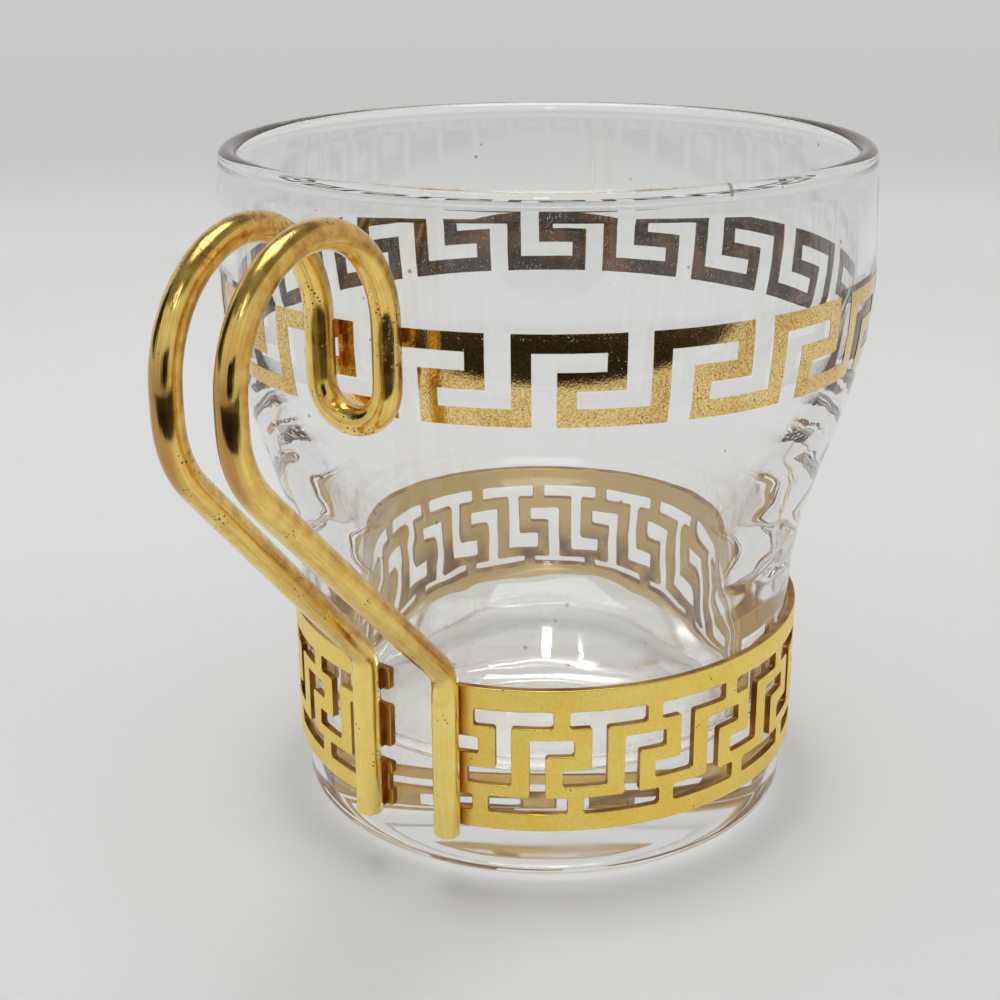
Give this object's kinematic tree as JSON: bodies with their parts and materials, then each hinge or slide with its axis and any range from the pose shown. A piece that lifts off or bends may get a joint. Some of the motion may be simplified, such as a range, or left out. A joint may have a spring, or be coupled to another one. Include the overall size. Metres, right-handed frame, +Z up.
{
  "type": "glass mug with metal holder",
  "caption": "Small bell-shaped clear glass mug with a gold key band, held by a sprung pierced metal band with a looped double-wire handle.",
  "frame": {"origin": "centre of the glass's foot, on the plane it stands on", "axes": "+Z up along the glass's axis; the handle points along -Y; +X is to the right when the handle faces the viewer"},
  "size_m": [0.0834, 0.113, 0.087],
  "materials": {
    "clear_glass": "clear, polished, pressed glass",
    "fired_gold": "bright fired gold print, grainy and a little worn",
    "satin_gold_plate": "satin gold-coloured plate with bright rounded edges",
    "bright_gold_plate": "bright gold-coloured plate, tarnished orange in the hollows",
    "brown_braze": "dark brown, oxidised"
  },
  "bodies": {
    "holder": {"holder_band": "satin_gold_plate", "wire_handle": "bright_gold_plate", "left_braze": "brown_braze", "right_braze": "brown_braze"},
    "glass": {"glass_cup": "clear_glass", "gold_key": "fired_gold"}
  },
  "joints": [
    {"name": "glass_lift", "type": "slide", "parent": "holder", "child": "glass", "axis": [0, 0, 1], "range_m": [-0.0035, 0.03]}
  ]
}
